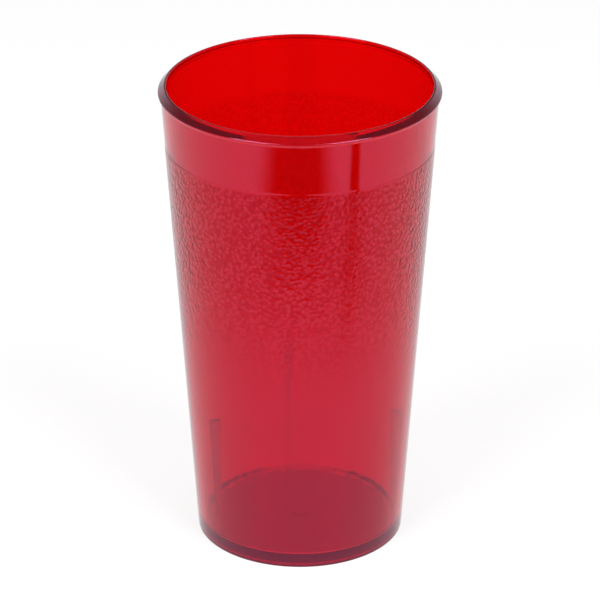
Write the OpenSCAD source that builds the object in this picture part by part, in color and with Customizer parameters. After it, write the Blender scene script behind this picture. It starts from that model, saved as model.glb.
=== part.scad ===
// Stacking plastic tumbler, injection moulded in one piece.
// The wall is one revolved profile, and three lugs inside it carry the next tumbler of a stack.
// Millimetres, +Z up, the foot stands on Z = 0 and the axis of the mouth is the Z axis.

/* [Overall] */
// Height from the table to the top of the rim
height = 149; // [115:1:190]
// Diameter over the bead of the rim
rim_d = 86; // [80:0.5:100]
// Diameter of the wall where it meets the table
foot_d = 64.5; // [56:0.5:70]

/* [Wall] */
// Wall thickness at the rim
wall_top = 1.9; // [1.5:0.1:2.6]
// Wall thickness just above the floor
wall_low = 2.5; // [1.8:0.1:3.2]
// Thickness of the floor
floor_t = 3; // [1.8:0.1:4]
// Radius where the wall turns into the floor, inside
floor_corner_r = 1.8; // [0.5:0.1:4]

/* [Rim] */
// Height of the bead around the rim, from the hollow under it to the crest
bead_h = 3; // [2.6:0.1:5]
// How far the bead stands out from the wall below it
bead_out = 0.6; // [0.3:0.05:1.2]
// Height of the upright side of the bead
bead_side_h = 0.5; // [0.3:0.1:1]
// Width of the level crest at the inner edge of the rim, above the slope that sheds outwards
crest_w = 0.6; // [0.4:0.1:1]
// Radius of the hollow where the bead meets the wall
bead_root_r = 0.5; // [0.1:0.1:1]
// Radius below the upright side of the bead
bead_under_r = 0.5; // [0.1:0.1:1]
// Radius above the upright side of the bead
bead_over_r = 0.5; // [0.1:0.1:1]
// Radius between the slope and the crest
crest_r = 0.6; // [0.2:0.1:1]
// Radius of the inner edge of the rim
rim_inner_r = 0.25; // [0.1:0.05:0.5]

/* [Drinking band] */
// Depth of the smooth band, from the top of the rim to the edge of the pebbled body
band_h = 18.5; // [8:0.5:40]
// How far the pebbled body stands out from the smooth band
body_out = 0.1; // [0.1:0.05:0.5]
// Length of the slope between the body and the band
band_slope = 0.4; // [0.2:0.1:1.5]
// Radius of the bends at both ends of that slope
band_bend_r = 1; // [0.3:0.1:2]

/* [Foot] */
// Radius of the outer edge of the foot
foot_edge_r = 0.3; // [0.2:0.1:1.6]
// Width of the ring that the tumbler stands on
ring_w = 3.2; // [2:0.1:5]
// Depth of the hollow under the floor
recess_h = 0.5; // [0.5:0.1:2]
// Inward run of the hollow's sloping side
recess_run = 0.4; // [0.2:0.1:1.5]
// Diameter of the gate mark in the middle of the underside
gate_d = 4.5; // [2:0.5:8]
// Height of the gate mark
gate_h = 0.2; // [0.1:0.05:0.4]

/* [Stacking lugs] */
// Number of lugs
lug_count = 3; // [3:1:6]
// Thickness of a lug
lug_t = 1.2; // [0.8:0.1:2]
// Height of the lugs' tops above the table, which is how far each tumbler of a stack stands up
nest_pitch = 45; // [30:1:70]
// How far a lug reaches in under the foot of the next tumbler
lug_seat = 2.4; // [1.4:0.1:3.2]
// Draft of a lug's inner edge, in degrees
lug_draft = 0.5; // [0:0.1:1]
// Direction of the first lug, in degrees round the axis
lug_turn = 96.5; // [0:0.5:119.5]

/* [Hidden] */
tumbler_colour = "#B5142F";
$fn = 96;
// Straight steps in each rounded corner of the profile
corner_steps = 7;
// Largest share of a neighbouring side that a rounded corner may use up
corner_share = 0.49;
full_turn = 360;
half_turn = 180;
// Heights of the floor's upper face, the band's lower edge and the bead's lower edge
floor_z = recess_h + floor_t;
band_z = height - band_h;
bead_z = height - bead_h;
foot_r = foot_d / 2;
rim_r = rim_d / 2;
// Radius that the smooth band's outer face would have at the top of the rim
band_top_r = rim_r - bead_out;
// Growth of the outer radius for each millimetre of height
body_taper = (band_top_r + body_out - foot_r) / height;
// Inner radius at the top of the rim and at the floor, and its growth between them
mouth_r = band_top_r - wall_top;
floor_r = body_r(floor_z) - wall_low;
bore_taper = (mouth_r - floor_r) / (height - floor_z);
ring_inner_r = foot_r - ring_w;
// Radius of the lugs' noses at their tops, and the height inside the floor where the lugs start
lug_nose_r = foot_r - lug_seat;
lug_root_z = recess_h + floor_t / 2;

// Radius of the pebbled body's outer face at height z
function body_r(z) = foot_r + body_taper * z;
// Radius of the smooth band's outer face at height z
function band_r(z) = body_r(z) - body_out;
// Radius of the inner face at height z
function bore_r(z) = floor_r + bore_taper * (z - floor_z);
// Radius half way through the wall at height z
function mid_wall_r(z) = (body_r(z) + bore_r(z)) / 2;

function unit(v) = v / norm(v);

// The corner p between its neighbours a and b, as an arc of radius r or as much of it as fits
function rounded_corner(a, p, b, r) =
    let (
        to_a = unit(a - p),
        to_b = unit(b - p),
        half_angle = acos(to_a * to_b) / 2,
        room = min(norm(a - p), norm(b - p)) * corner_share,
        fitted_r = min(r, room * tan(half_angle)),
        centre = p + unit(to_a + to_b) * fitted_r / sin(half_angle),
        first = p + to_a * fitted_r / tan(half_angle) - centre,
        first_angle = atan2(first.y, first.x),
        sweep = sign(cross(to_a, to_b)) * (2 * half_angle - half_turn)
    )
    [for (i = [0 : corner_steps])
        let (angle = first_angle + sweep * i / corner_steps)
        centre + fitted_r * [cos(angle), sin(angle)]];

// Half section of the tumbler: radius and height of each corner, and the radius that rounds it
section_corners = [
    [0, recess_h - gate_h, 0],
    [gate_d / 2, recess_h - gate_h, gate_h / 2],
    [gate_d / 2 + gate_h, recess_h, gate_h / 2],
    [ring_inner_r - recess_run, recess_h, recess_h / 2],
    [ring_inner_r, 0, recess_h / 2],
    [foot_r, 0, foot_edge_r],
    [body_r(band_z - band_slope), band_z - band_slope, band_bend_r],
    [band_r(band_z), band_z, band_bend_r],
    [band_r(bead_z), bead_z, bead_root_r],
    [rim_r, bead_z + bead_out, bead_under_r],
    [rim_r, bead_z + bead_out + bead_side_h, bead_over_r],
    [mouth_r + crest_w, height, crest_r],
    [mouth_r, height, rim_inner_r],
    [floor_r, floor_z, floor_corner_r],
    [0, floor_z, 0]
];

module section() {
    last = len(section_corners) - 1;
    corner = [for (c = section_corners) [c[0], c[1]]];
    outline = [for (i = [0 : last])
        each (section_corners[i][2] > 0
            ? rounded_corner(corner[i - 1], corner[i], corner[i + 1], section_corners[i][2])
            : [corner[i]])];
    polygon(outline);
}

// Space that the lugs may fill: from inside the floor up to the seat, out to the middle of the wall
module lug_space() {
    translate([0, 0, lug_root_z])
        cylinder(h = nest_pitch - lug_root_z, r1 = mid_wall_r(lug_root_z), r2 = mid_wall_r(nest_pitch));
}

// One lug along +X: an upright fin with a round nose, leaning out by its draft
module lug_blank() {
    translate([lug_nose_r, 0, nest_pitch])
        rotate([0, lug_draft, 0])
            translate([lug_t / 2, 0, -nest_pitch])
                linear_extrude(height = 2 * nest_pitch) {
                    circle(d = lug_t);
                    translate([0, -lug_t / 2])
                        square([foot_r, lug_t]);
                }
}

module lugs() {
    intersection() {
        lug_space();
        union() {
            for (i = [0 : lug_count - 1])
                rotate([0, 0, lug_turn + i * full_turn / lug_count])
                    lug_blank();
        }
    }
}

module tumbler() {
    color(tumbler_colour)
        union() {
            rotate_extrude() section();
            lugs();
        }
}

tumbler();
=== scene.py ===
"""The looks of a one-piece stacking tumbler, injection moulded in clear ruby red plastic.

The piece is one closed surface: a half section carried round the axis. Its outer face has real
pebbles in relief, and its inner face has three stacking lugs. Lengths are in millimetres until
the mesh is made, and Blender's own units are metres.
"""

import math

import bpy
import numpy as np
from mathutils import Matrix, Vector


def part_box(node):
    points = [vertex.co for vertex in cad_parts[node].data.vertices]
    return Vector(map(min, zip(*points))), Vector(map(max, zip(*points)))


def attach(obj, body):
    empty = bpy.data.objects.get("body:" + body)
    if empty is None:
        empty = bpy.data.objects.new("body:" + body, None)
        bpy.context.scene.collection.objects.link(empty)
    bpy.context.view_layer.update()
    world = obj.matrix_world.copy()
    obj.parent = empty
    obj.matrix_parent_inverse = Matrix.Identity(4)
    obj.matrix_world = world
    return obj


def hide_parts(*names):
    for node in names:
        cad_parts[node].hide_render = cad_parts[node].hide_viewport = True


MM = 0.001
FULL_TURN = 2 * math.pi

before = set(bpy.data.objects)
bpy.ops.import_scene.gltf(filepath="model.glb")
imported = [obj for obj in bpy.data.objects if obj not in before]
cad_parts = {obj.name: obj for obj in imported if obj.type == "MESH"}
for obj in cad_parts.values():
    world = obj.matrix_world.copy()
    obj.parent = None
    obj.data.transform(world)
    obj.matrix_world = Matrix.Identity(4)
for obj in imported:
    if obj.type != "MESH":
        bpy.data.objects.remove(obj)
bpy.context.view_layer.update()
low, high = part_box("tumbler")

# Section, as in the part's own source: height and rim come from the frame
HEIGHT = high.z / MM
RIM_R = high.x / MM
FOOT_R = 32.25
WALL_TOP = 1.9
WALL_LOW = 2.5
FLOOR_T = 3.0
FLOOR_CORNER_R = 1.8
BEAD_H = 3.0
BEAD_OUT = 0.6
BEAD_SIDE_H = 0.5
CREST_W = 0.6
BEAD_ROOT_R = 0.5
BEAD_UNDER_R = 0.5
BEAD_OVER_R = 0.5
CREST_R = 0.6
RIM_INNER_R = 0.25
BAND_H = 18.5
BODY_OUT = 0.1
BAND_SLOPE = 0.4
BAND_BEND_R = 1.0
FOOT_EDGE_R = 0.3
RING_W = 3.2
RECESS_H = 0.5
RECESS_RUN = 0.4
GATE_R = 2.25
GATE_H = 0.2

# Stacking lugs
LUG_COUNT = 3
LUG_T = 1.2
NEST_PITCH = 45.0
LUG_SEAT = 2.4
LUG_DRAFT = math.radians(0.5)
LUG_TURN = math.radians(96.5)
LUG_EDGE_R = 0.25

# Derived heights and radii
FLOOR_Z = RECESS_H + FLOOR_T
BAND_Z = HEIGHT - BAND_H
BEAD_Z = HEIGHT - BEAD_H
BAND_TOP_R = RIM_R - BEAD_OUT
BODY_TAPER = (BAND_TOP_R + BODY_OUT - FOOT_R) / HEIGHT
MOUTH_R = BAND_TOP_R - WALL_TOP
FLOOR_R = FOOT_R + BODY_TAPER * FLOOR_Z - WALL_LOW
BORE_TAPER = (MOUTH_R - FLOOR_R) / (HEIGHT - FLOOR_Z)
RING_INNER_R = FOOT_R - RING_W
LUG_NOSE_R = FOOT_R - LUG_SEAT

# Grid of the surface: columns round the axis, a whole number for each lug
COLUMNS_PER_LUG = 120
COLUMNS = LUG_COUNT * COLUMNS_PER_LUG
BODY_ROWS = 190
# Distance of the row that keeps a straight side's shading flat from the end of the side
SHADING_INSET = 0.1
# Heights above the seat where the columns that a lug draws together start and end to spread
SPREAD_START = 2.0
SPREAD_END = 17.0
# Height above the seat of one row for the long side between the spread columns and the rim
UPPER_ROW = 45.0
# Half the step that the lug's upper edge and the row above it share
SEAT_STEP = 0.01

# Pebbles of the body
PEBBLE_PITCH = 1.9
PEBBLE_RELIEF = 0.03
PEBBLE_FADE = 0.8
PEBBLE_FOOT_Z = 3.0
PEBBLE_FOOT_FADE = 10.0
PEBBLE_WEAK_Z = 50.0
PEBBLE_FULL_Z = 110.0
PEBBLE_WEAK_SHARE = 0.12
PEBBLE_SEED = 7
# Width of a pebble's dome as a share of the pitch
PEBBLE_WIDTH = 0.3
# Height of a pebble that lies level with the smooth body, as a share of the relief
PEBBLE_MEAN = 0.6
# Etching of the pebbled body, where 1 is the etched underside
BODY_ETCH = 0.16


def body_r(z):
    """Radius of the pebbled body's mean outer face: the foot's radius plus the taper times z."""
    return FOOT_R + BODY_TAPER * z


def bore_r(z):
    """Radius of the inner face: the floor's plus the bore's taper times the height above it."""
    return FLOOR_R + BORE_TAPER * (z - FLOOR_Z)


def rounded_corner(before, corner, after, radius, steps):
    """Points of an arc that touches both sides of a corner.

    Its centre lies on the corner's bisector, radius / sin(half the corner's angle) away, and the
    arc turns from one side's normal to the other's in equal angles.
    """
    before, corner, after = (np.array(p, float) for p in (before, corner, after))
    back = (before - corner) / np.linalg.norm(before - corner)
    ahead = (after - corner) / np.linalg.norm(after - corner)
    half = math.acos(float(back @ ahead)) / 2
    middle = (back + ahead) / np.linalg.norm(back + ahead)
    centre = corner + middle * radius / math.sin(half)
    first = corner + back * radius / math.tan(half) - centre
    turn = math.pi - 2 * half
    side = -math.copysign(1.0, back[0] * ahead[1] - back[1] * ahead[0])
    angle = math.atan2(first[1], first[0]) + side * turn * np.linspace(0, 1, steps + 1)
    return centre + radius * np.stack([np.cos(angle), np.sin(angle)], axis=1)


def joined(arcs):
    """Arcs in a row, with one more row just inside each end of a long straight side between two.

    The rows keep the straight side's shading flat up to the start of the arc.
    """
    rows = [arcs[0]]
    for before, after in zip(arcs, arcs[1:]):
        side = after[0] - before[-1]
        length = np.linalg.norm(side)
        if length > 1:
            inset = side * SHADING_INSET / length
            rows.append(np.stack([before[-1] + inset, after[0] - inset]))
        rows.append(after)
    return np.concatenate(rows)


def half_section():
    """Rows of the surface as (radius, height), from the middle of the underside to the floor's.

    Each corner of the section is an arc. Straight rows are added where the surface carries
    pebbles or lugs. Returns the rows, and the number of rows before the inner face.
    """
    corners = [
        ((0, RECESS_H - GATE_H), 0, 0),
        ((GATE_R, RECESS_H - GATE_H), GATE_H / 2, 2),
        ((GATE_R + GATE_H, RECESS_H), GATE_H / 2, 2),
        ((RING_INNER_R - RECESS_RUN, RECESS_H), RECESS_H / 2, 3),
        ((RING_INNER_R, 0), RECESS_H / 2, 3),
        ((FOOT_R, 0), FOOT_EDGE_R, 5),
        ((body_r(BAND_Z - BAND_SLOPE), BAND_Z - BAND_SLOPE), BAND_BEND_R, 2),
        ((body_r(BAND_Z) - BODY_OUT, BAND_Z), BAND_BEND_R, 2),
        ((body_r(BEAD_Z) - BODY_OUT, BEAD_Z), BEAD_ROOT_R, 3),
        ((RIM_R, BEAD_Z + BEAD_OUT), BEAD_UNDER_R, 4),
        ((RIM_R, BEAD_Z + BEAD_OUT + BEAD_SIDE_H), BEAD_OVER_R, 4),
        ((MOUTH_R + CREST_W, HEIGHT), CREST_R, 5),
        ((MOUTH_R, HEIGHT), RIM_INNER_R, 5),
        ((FLOOR_R, FLOOR_Z), FLOOR_CORNER_R, 6),
        ((0, FLOOR_Z), 0, 0),
    ]
    points = [corner for corner, _, _ in corners]
    arcs = [
        rounded_corner(points[i - 1], points[i], points[i + 1], radius, steps)
        for i, (_, radius, steps) in enumerate(corners)
        if radius > 0
    ]
    foot, top, floor_corner = arcs[:5], arcs[5:12], arcs[12]
    body = np.linspace(foot[-1][-1], top[0][0], BODY_ROWS + 2)[1:-1]
    edge = LUG_EDGE_R * (1 - np.cos(np.linspace(0, math.pi / 2, 4)))
    spread = np.linspace(SPREAD_END, SPREAD_START, 4)
    spread_rows = NEST_PITCH + np.concatenate([[UPPER_ROW], spread, [SEAT_STEP]])
    lug_rows = np.concatenate([NEST_PITCH - SEAT_STEP - edge, [NEST_PITCH / 2]])
    ends = np.array([top[-1][-1, 1] - SHADING_INSET, floor_corner[0, 1] + SHADING_INSET])
    inner_z = np.concatenate([ends[:1], spread_rows, lug_rows, ends[1:]])
    bore = np.stack([bore_r(inner_z), inner_z], axis=1)
    floor = np.array([[floor_corner[-1, 0] - SHADING_INSET, FLOOR_Z], [FLOOR_R / 2, FLOOR_Z]])
    outer = np.concatenate([joined(foot), body, joined(top)])
    inner = np.concatenate([bore, floor_corner, floor])
    return np.concatenate([outer, inner]), len(outer)


def column_angles(rows, first_inner):
    """Angle of every vertex: even columns, drawn together at each lug on the inner face.

    Within a lug's reach the columns stand at the fin's middle, over its round nose, at its two
    sides and at the foot of each side. They spread back to even over the rows above the seat.
    """
    step = FULL_TURN / COLUMNS
    index = np.arange(COLUMNS)
    even = LUG_TURN + step * index
    near = (index + COLUMNS_PER_LUG // 2) % COLUMNS_PER_LUG - COLUMNS_PER_LUG // 2
    half_fin = LUG_T / 2 / LUG_NOSE_R
    # Column angles from the fin's middle, in half fins: four over the nose, one at the foot of
    # its side and two beside it
    at = np.array([0, 0.5, 0.85, 0.99, 1.01, 1.5, 2.7]) * half_fin
    marks = np.arange(len(at) + 1)
    at = np.append(at, len(at) * step)
    drawn = np.sign(near) * np.interp(abs(near), marks, at, right=np.nan)
    shift = np.where(abs(near) < len(marks), np.nan_to_num(drawn) - step * near, 0.0)
    spread_h = SPREAD_END - SPREAD_START
    spread = np.clip((NEST_PITCH + SPREAD_END - rows[:, 1]) / spread_h, 0, 1)
    spread[:first_inner] = 0
    return even + spread[:, None] * shift


def lug_radius(angles, heights, radii):
    """Inner radius with the lugs: the smaller of the bore's and, over a fin, the fin's nose.

    The nose leans out by the draft below the seat, is round across the fin, as
    t/2 - sqrt((t/2)^2 - s^2) at s from the fin's middle, and its upper edge is a quarter circle.
    """
    pitch = FULL_TURN / LUG_COUNT
    across = (angles - LUG_TURN + pitch / 2) % pitch - pitch / 2
    s = across * LUG_NOSE_R
    half = LUG_T / 2
    round_nose = half - np.sqrt(np.maximum(half**2 - s**2, 0))
    down = NEST_PITCH - heights
    into_edge = np.clip(LUG_EDGE_R - down, 0, LUG_EDGE_R)
    round_top = LUG_EDGE_R - np.sqrt(LUG_EDGE_R**2 - into_edge**2)
    nose = LUG_NOSE_R - down * math.tan(LUG_DRAFT) + round_nose + round_top
    over_fin = (abs(s) < half) & (down > 0)
    return np.where(over_fin, np.minimum(radii, nose), radii)


def pebble_height(points):
    """Height of the pebbles at each point, from 0 in the valleys to 1 on the tops.

    Each cube of a lattice of side PEBBLE_PITCH holds one point, moved at random. The height falls
    with the square of the distance d to the nearest one, as -log(sum of exp(-(d / w)^2)) does for
    the 27 cubes around a vertex, so each pebble is a dome and the valleys between them are round.
    """
    scaled = points / PEBBLE_PITCH
    home = np.floor(scaled).astype(int)
    start = home.min(axis=0) - 1
    size = home.max(axis=0) - start + 2
    jitter = np.random.default_rng(PEBBLE_SEED).random((*size, 3))
    total = np.zeros(len(points))
    for offset in np.ndindex(3, 3, 3):
        cell = home + np.array(offset) - 1
        centre = cell + jitter[tuple((cell - start).T)]
        total += np.exp(-(((scaled - centre) ** 2).sum(axis=1)) / PEBBLE_WIDTH**2)
    far = -(PEBBLE_WIDTH**2) * np.log(total)
    lowest, highest = np.percentile(far, (1, 99))
    return np.clip((highest - far) / (highest - lowest), 0, 1)


def smooth_step(x):
    """3 x^2 - 2 x^3 on 0 to 1, level at both ends."""
    x = np.clip(x, 0, 1)
    return x * x * (3 - 2 * x)


def tumbler_surface():
    """Vertices, faces and the two shares, pebbled and etched, of the whole piece.

    A vertex of row (r, z) and column angle a lies at (r cos a, r sin a, z). The pebbles move the
    body's rows out along the section's normal, and two poles close the underside and the floor.
    The pebbles are full under the band, weak low on the body, and fade out above the foot.
    """
    rows, first_inner = half_section()
    angles = column_angles(rows, first_inner)
    radii = np.repeat(rows[:, :1], COLUMNS, axis=1)
    heights = np.repeat(rows[:, 1:], COLUMNS, axis=1)
    inner = slice(first_inner, None)
    radii[inner] = lug_radius(angles[inner], heights[inner], radii[inner])

    outer_z = heights[:first_inner]
    share = smooth_step((outer_z - PEBBLE_FOOT_Z) / PEBBLE_FOOT_FADE)
    full = smooth_step((outer_z - PEBBLE_WEAK_Z) / (PEBBLE_FULL_Z - PEBBLE_WEAK_Z))
    share = share * (PEBBLE_WEAK_SHARE + (1 - PEBBLE_WEAK_SHARE) * full)
    below_slope = BAND_Z - BAND_SLOPE - SHADING_INSET - outer_z
    share = share * smooth_step(below_slope / PEBBLE_FADE)
    share = share * (radii[:first_inner] > FOOT_R)
    points = np.stack(
        [radii * np.cos(angles), radii * np.sin(angles), heights], axis=2
    )
    field = pebble_height(points[:first_inner].reshape(-1, 3)).reshape(share.shape)
    proud = PEBBLE_RELIEF * share * (field - PEBBLE_MEAN)
    slope = math.hypot(1, BODY_TAPER)
    out = np.stack([np.cos(angles), np.sin(angles), np.zeros_like(angles)], axis=2)
    out[..., 2] = -BODY_TAPER
    points[:first_inner] += (proud / slope)[..., None] * out[:first_inner]

    count = len(rows)
    grid = np.arange(count * COLUMNS).reshape(count, COLUMNS)
    beside = np.roll(grid, -1, axis=1)
    quads = np.stack([grid[:-1], beside[:-1], beside[1:], grid[1:]], axis=2).reshape(-1, 4)
    poles = np.array([[0, 0, RECESS_H - GATE_H], [0, 0, FLOOR_Z]])
    under, floor = count * COLUMNS, count * COLUMNS + 1
    under_fan = np.stack([beside[0], grid[0], np.full(COLUMNS, under)], axis=1)
    floor_fan = np.stack([grid[-1], beside[-1], np.full(COLUMNS, floor)], axis=1)
    vertices = np.concatenate([points.reshape(-1, 3), poles])
    pebbled = np.zeros(len(vertices))
    pebbled[: share.size] = share.reshape(-1)
    etched = np.zeros(len(vertices))
    margin = 0.05
    # The hollow is etched in full, and in the material this share also gives it a darker red,
    # #AC1119, as painted shade
    hollow = (outer_z < RECESS_H + margin) & (radii[:first_inner] < RING_INNER_R + margin)
    etched[: share.size] = np.maximum(BODY_ETCH * share, hollow).reshape(-1)
    etched[under] = 1
    faces = quads.tolist() + under_fan.tolist() + floor_fan.tolist()
    return vertices, faces, {"pebbled": pebbled, "etched": etched}


def srgb(hex_colour):
    """Linear RGBA of an sRGB hex colour."""
    parts = [int(hex_colour[i : i + 2], 16) / 255 for i in (1, 3, 5)]
    linear = [c / 12.92 if c <= 0.04045 else ((c + 0.055) / 1.055) ** 2.4 for c in parts]
    return (*linear, 1.0)


def add_node(tree, kind, inputs=None, **settings):
    """Adds a node with its settings. An input that is a socket is linked, and any other is set."""
    node = tree.nodes.new(kind)
    for name, value in settings.items():
        setattr(node, name, value)
    for name, value in (inputs or {}).items():
        if isinstance(value, bpy.types.NodeSocket):
            tree.links.new(value, node.inputs[name])
        else:
            node.inputs[name].default_value = value
    return node


def empty_material(name):
    """A material with no nodes yet, and its node tree."""
    material = bpy.data.materials.new(name)
    material.use_nodes = True
    material.node_tree.nodes.clear()
    return material, material.node_tree


def clear_ruby_san():
    """Clear ruby red styrene acrylonitrile, injection moulded against a polished tool.

    The plastic is clear and glossy, with an index of 1.57. Its dye takes nearly all green and
    blue within a millimetre and an eighth of the red in one wall, so one wall looks bright red,
    two look deeper, and the long way round the rim looks maroon. A twentieth of the light is
    scattered as a red haze, which keeps the thick places from looking black. The body of the
    mould is etched. Its grain lies on the pebbles, and painted shade gives the grain's valleys a
    deeper tone and a darker reflection tint than its tops, so the body looks softly mottled
    beside the smooth band. Painted shade also gives the hollow under the floor a darker red.
    """
    material, tree = empty_material("injection_moulded_clear_ruby_SAN")
    place = add_node(tree, "ShaderNodeTexCoord").outputs["Object"]
    pebbled = add_node(tree, "ShaderNodeAttribute", attribute_name="pebbled").outputs["Fac"]
    # The etching's own grain is too fine for the render, so it is drawn this wide and deep
    grain_mm = 1.15
    grain_depth_mm = 0.12
    cells = add_node(
        tree,
        "ShaderNodeTexVoronoi",
        {"Vector": place, "Scale": 1 / (grain_mm * MM), "Smoothness": 0.5},
        feature="SMOOTH_F1",
    ).outputs["Distance"]
    dome = add_node(tree, "ShaderNodeMath", {0: cells, 1: cells}, operation="MULTIPLY")
    # Painted shade: this share, high in the grain's valleys on the pebbled body, gives them a
    # deeper red and a darker reflection tint
    valley_shade = add_node(
        tree, "ShaderNodeMapRange", {"Value": dome.outputs[0], "From Min": 0.06, "From Max": 0.3}
    )
    valley_shade = add_node(
        tree,
        "ShaderNodeMath",
        {0: valley_shade.outputs["Result"], 1: pebbled},
        operation="MULTIPLY",
    )
    # Painted shade: the grain's valleys get the deeper red #D61922 in place of #F01D27
    # Sockets 6 and 7 are a colour mix's two colours, and output 2 is its result
    tone = add_node(
        tree,
        "ShaderNodeMix",
        {0: valley_shade.outputs[0], 6: srgb("#F01D27"), 7: srgb("#D61922")},
        data_type="RGBA",
    )
    etched = add_node(tree, "ShaderNodeAttribute", attribute_name="etched").outputs["Fac"]
    # Only the hollow under the floor is etched more than this
    hollow_etch = 0.4
    underside = add_node(
        tree, "ShaderNodeMapRange", {"Value": etched, "From Min": hollow_etch}
    )
    # Painted shade: where the etched share passes hollow_etch, the hollow under the floor gets the
    # darker red #AC1119
    tone = add_node(
        tree,
        "ShaderNodeMix",
        {0: underside.outputs["Result"], 6: tone.outputs[2], 7: srgb("#AC1119")},
        data_type="RGBA",
    )
    relief = add_node(
        tree,
        "ShaderNodeBump",
        {"Strength": pebbled, "Distance": grain_depth_mm * MM, "Height": dome.outputs[0]},
        invert=True,
    )
    roughness = add_node(
        tree, "ShaderNodeMapRange", {"Value": etched, "To Min": 0.03, "To Max": 0.6}
    )
    # Painted shade: the grain's valleys get the darker reflection tint #9476B0 in place of #FFBEFF
    shine_with_valley_shade = add_node(
        tree,
        "ShaderNodeMix",
        {0: valley_shade.outputs[0], 6: srgb("#FFBEFF"), 7: srgb("#9476B0")},
        data_type="RGBA",
    )
    surface = add_node(
        tree,
        "ShaderNodeBsdfPrincipled",
        {
            "Base Color": tone.outputs[2],
            "Roughness": roughness.outputs["Result"],
            "IOR": 1.57,
            "Transmission Weight": 0.95,
            "Specular Tint": shine_with_valley_shade.outputs[2],
            "Normal": relief.outputs["Normal"],
        },
    )
    dye = add_node(
        tree,
        "ShaderNodeVolumeAbsorption",
        {"Color": srgb("#FC0000"), "Density": 2700.0},
    )
    add_node(
        tree,
        "ShaderNodeOutputMaterial",
        {"Surface": surface.outputs["BSDF"], "Volume": dye.outputs["Volume"]},
    )
    return material


def white_sheet():
    """Matt white floor sheet. Seen directly, in gloss or through the plastic it is lifted to white.

    In gloss it ends about 0.22 m in front of the tumbler's middle, with a soft edge between its
    two sides, and it has one dark gap at a slant. These give the two dark bars on the tumbler's
    front. Under the foot it isn't lifted through the plastic, so the foot looks dark.
    """
    material, tree = empty_material("matt_white_floor_sheet")
    rays = add_node(tree, "ShaderNodeLightPath").outputs
    place = add_node(tree, "ShaderNodeTexCoord").outputs["Object"]
    across = add_node(tree, "ShaderNodeSeparateXYZ", {"Vector": place}).outputs
    # The end of the sheet in front, between its sides
    far = add_node(
        tree,
        "ShaderNodeMapRange",
        {"Value": across["Y"], "From Min": -0.232, "From Max": -0.204},
        interpolation_type="SMOOTHSTEP",
    )
    aside = add_node(tree, "ShaderNodeMath", {0: across["X"], 1: 0.01}, operation="ADD")
    aside = add_node(tree, "ShaderNodeMath", {0: aside.outputs[0]}, operation="ABSOLUTE")
    wide = add_node(
        tree,
        "ShaderNodeMapRange",
        {"Value": aside.outputs[0], "From Min": 0.07, "From Max": 0.16},
        interpolation_type="SMOOTHSTEP",
    )
    edge = add_node(
        tree,
        "ShaderNodeMath",
        {0: far.outputs["Result"], 1: wide.outputs["Result"]},
        operation="MAXIMUM",
    )
    # The gap: a straight strip that stops short of the tumbler
    gap_turn = math.radians(48.4)
    gap_offset = 0.0175
    off_gap = add_node(
        tree,
        "ShaderNodeVectorMath",
        {0: place, 1: (math.cos(gap_turn), math.sin(gap_turn), 0)},
        operation="DOT_PRODUCT",
    )
    off_gap = add_node(
        tree, "ShaderNodeMath", {0: off_gap.outputs["Value"], 1: gap_offset}, operation="ADD"
    )
    off_gap = add_node(tree, "ShaderNodeMath", {0: off_gap.outputs[0]}, operation="ABSOLUTE")
    beside = add_node(
        tree,
        "ShaderNodeMapRange",
        {"Value": off_gap.outputs[0], "From Min": 0.01, "From Max": 0.028},
        interpolation_type="SMOOTHSTEP",
    )
    behind = add_node(
        tree,
        "ShaderNodeMapRange",
        {"Value": across["Y"], "From Min": -0.155, "From Max": -0.12},
    )
    gap = add_node(
        tree,
        "ShaderNodeMath",
        {0: beside.outputs["Result"], 1: behind.outputs["Result"]},
        operation="MAXIMUM",
    )
    sheet = add_node(
        tree,
        "ShaderNodeMath",
        {0: edge.outputs[0], 1: gap.outputs[0]},
        operation="MULTIPLY",
    )
    strength = add_node(
        tree,
        "ShaderNodeMix",
        {"Factor": rays["Is Glossy Ray"], "A": 1.0, "B": sheet.outputs[0]},
    )
    # How far the camera's rays and those through the plastic are lifted from the shaded paint
    lifted = 0.7
    seen = add_node(
        tree,
        "ShaderNodeMath",
        {0: rays["Is Camera Ray"], 1: lifted},
        operation="MULTIPLY",
    )
    seen = add_node(
        tree,
        "ShaderNodeMath",
        {0: seen.outputs[0], 1: rays["Is Glossy Ray"]},
        operation="MAXIMUM",
    )
    flat = add_node(
        tree, "ShaderNodeVectorMath", {0: place, 1: (1, 1, 0)}, operation="MULTIPLY"
    )
    radius = add_node(
        tree, "ShaderNodeVectorMath", {0: flat.outputs["Vector"]}, operation="LENGTH"
    )
    open_floor = add_node(
        tree,
        "ShaderNodeMapRange",
        {"Value": radius.outputs["Value"], "From Min": 0.03, "From Max": 0.05},
    )
    through = add_node(
        tree,
        "ShaderNodeMath",
        {0: rays["Is Transmission Ray"], 1: lifted},
        operation="MULTIPLY",
    )
    through = add_node(
        tree,
        "ShaderNodeMath",
        {0: through.outputs[0], 1: open_floor.outputs["Result"]},
        operation="MULTIPLY",
    )
    lift = add_node(
        tree,
        "ShaderNodeMath",
        {0: seen.outputs[0], 1: through.outputs[0]},
        operation="MAXIMUM",
    )
    paint = add_node(tree, "ShaderNodeBsdfDiffuse", {"Color": srgb("#FAFAFA")})
    white = add_node(
        tree,
        "ShaderNodeEmission",
        {"Color": srgb("#FFFFFF"), "Strength": strength.outputs["Result"]},
    )
    mixed = add_node(
        tree,
        "ShaderNodeMixShader",
        {0: lift.outputs[0], 1: paint.outputs[0], 2: white.outputs[0]},
    )
    add_node(tree, "ShaderNodeOutputMaterial", {"Surface": mixed.outputs[0]})
    return material


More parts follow.
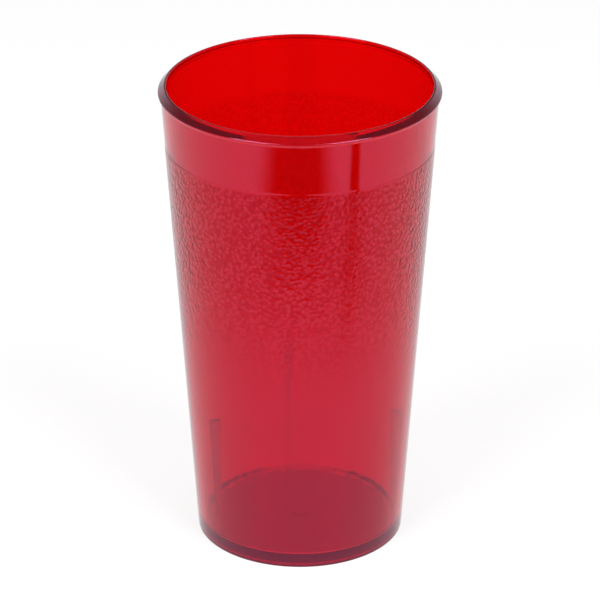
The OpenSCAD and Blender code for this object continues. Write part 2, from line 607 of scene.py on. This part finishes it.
def build_tumbler():
    """The one moulded piece, in place of the plain node."""
    vertices, faces, shares = tumbler_surface()
    mesh = bpy.data.meshes.new("tumbler_moulding")
    mesh.from_pydata((vertices * MM).tolist(), [], faces)
    for name, share in shares.items():
        attribute = mesh.attributes.new(name, "FLOAT", "POINT")
        attribute.data.foreach_set("value", share.astype(np.float32))
    mesh.shade_smooth()
    mesh.set_sharp_from_angle(angle=math.radians(50))
    mesh.materials.append(clear_ruby_san())
    piece = bpy.data.objects.new("tumbler_moulding", mesh)
    bpy.context.scene.collection.objects.link(piece)
    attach(piece, "root")
    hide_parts("tumbler")
    return piece


def build_floor():
    """A white sheet, 8 m across, so that its edge is out of view.

    It lies 0.05 mm under the foot, so that the two faces don't coincide.
    """
    reach = 4.0
    mesh = bpy.data.meshes.new("floor")
    z = -0.05 * MM
    corners = [(-reach, -reach, z), (reach, -reach, z), (reach, reach, z), (-reach, reach, z)]
    mesh.from_pydata(corners, [], [(0, 1, 2, 3)])
    mesh.materials.append(white_sheet())
    floor = bpy.data.objects.new("floor", mesh)
    bpy.context.scene.collection.objects.link(floor)


def softbox(name, azimuth, elevation, distance, width, height, power):
    """A rectangular area lamp that faces the tumbler's middle. Azimuth 0 is the camera's side."""
    lamp = bpy.data.lights.new(name, "AREA")
    lamp.shape = "RECTANGLE"
    lamp.size, lamp.size_y = width, height
    lamp.energy = power
    holder = bpy.data.objects.new(name, lamp)
    turn, rise = math.radians(azimuth), math.radians(elevation)
    middle = HEIGHT / 2 * MM
    holder.location = (
        distance * math.sin(turn) * math.cos(rise),
        -distance * math.cos(turn) * math.cos(rise),
        middle + distance * math.sin(rise),
    )
    holder.rotation_euler = (math.pi / 2 - rise, 0, turn)
    bpy.context.scene.collection.objects.link(holder)


def build_light():
    """Two front softboxes and a room.

    The room is white to the camera and through the plastic, and a plain level as light. In gloss
    its wall darkens towards the camera's side and its ceiling is dark, which gives the rim's
    slope its dark line.
    """
    for name, azimuth in (("left_softbox", -42), ("right_softbox", 42)):
        softbox(name, azimuth, elevation=38, distance=1.05, width=0.6, height=0.8, power=8.3)
    world = bpy.data.worlds.new("white_room")
    bpy.context.scene.world = world
    world.use_nodes = True
    tree = world.node_tree
    tree.nodes.clear()
    rays = add_node(tree, "ShaderNodeLightPath").outputs
    toward = add_node(tree, "ShaderNodeTexCoord").outputs["Generated"]
    toward = add_node(tree, "ShaderNodeSeparateXYZ", {"Vector": toward}).outputs
    wall = add_node(
        tree,
        "ShaderNodeMapRange",
        {"Value": toward["Y"], "From Min": -0.7, "From Max": -0.1, "To Min": 0.3, "To Max": 1.0},
    )
    ceiling = add_node(
        tree,
        "ShaderNodeMapRange",
        {"Value": toward["Z"], "From Min": 0.1, "From Max": 0.5, "To Min": 1.0, "To Max": 0.2},
        interpolation_type="SMOOTHSTEP",
    )
    gloss = add_node(
        tree,
        "ShaderNodeMath",
        {0: wall.outputs["Result"], 1: ceiling.outputs["Result"]},
        operation="MULTIPLY",
    )
    seen = add_node(
        tree,
        "ShaderNodeMath",
        {0: rays["Is Camera Ray"], 1: rays["Is Transmission Ray"]},
        operation="MAXIMUM",
    )
    room_level = 0.6
    level = add_node(
        tree,
        "ShaderNodeMix",
        {"Factor": rays["Is Glossy Ray"], "A": room_level, "B": gloss.outputs[0]},
    )
    level = add_node(
        tree,
        "ShaderNodeMix",
        {"Factor": seen.outputs[0], "A": level.outputs["Result"], "B": 1.0},
    )
    sky = add_node(
        tree,
        "ShaderNodeBackground",
        {"Color": srgb("#FFFFFF"), "Strength": level.outputs["Result"]},
    )
    add_node(tree, "ShaderNodeOutputWorld", {"Surface": sky.outputs[0]})


def build_camera():
    """The photograph's direction of view, 25.4 degrees down, with a long lens."""
    pitch = math.radians(25.4)
    distance = 1.18
    aim_z = 0.0767
    frame_height = 0.186
    camera = bpy.data.cameras.new("camera")
    camera.sensor_width = 36.0
    camera.lens = camera.sensor_width * distance / frame_height
    camera.clip_start = 0.05
    camera.clip_end = 50.0
    holder = bpy.data.objects.new("camera", camera)
    holder.location = (
        0,
        -distance * math.cos(pitch),
        aim_z + distance * math.sin(pitch),
    )
    holder.rotation_euler = (math.pi / 2 - pitch, 0, 0)
    bpy.context.scene.collection.objects.link(holder)
    bpy.context.scene.camera = holder


build_camera()
build_tumbler()
build_floor()
build_light()
bpy.context.scene.view_settings.view_transform = "Standard"
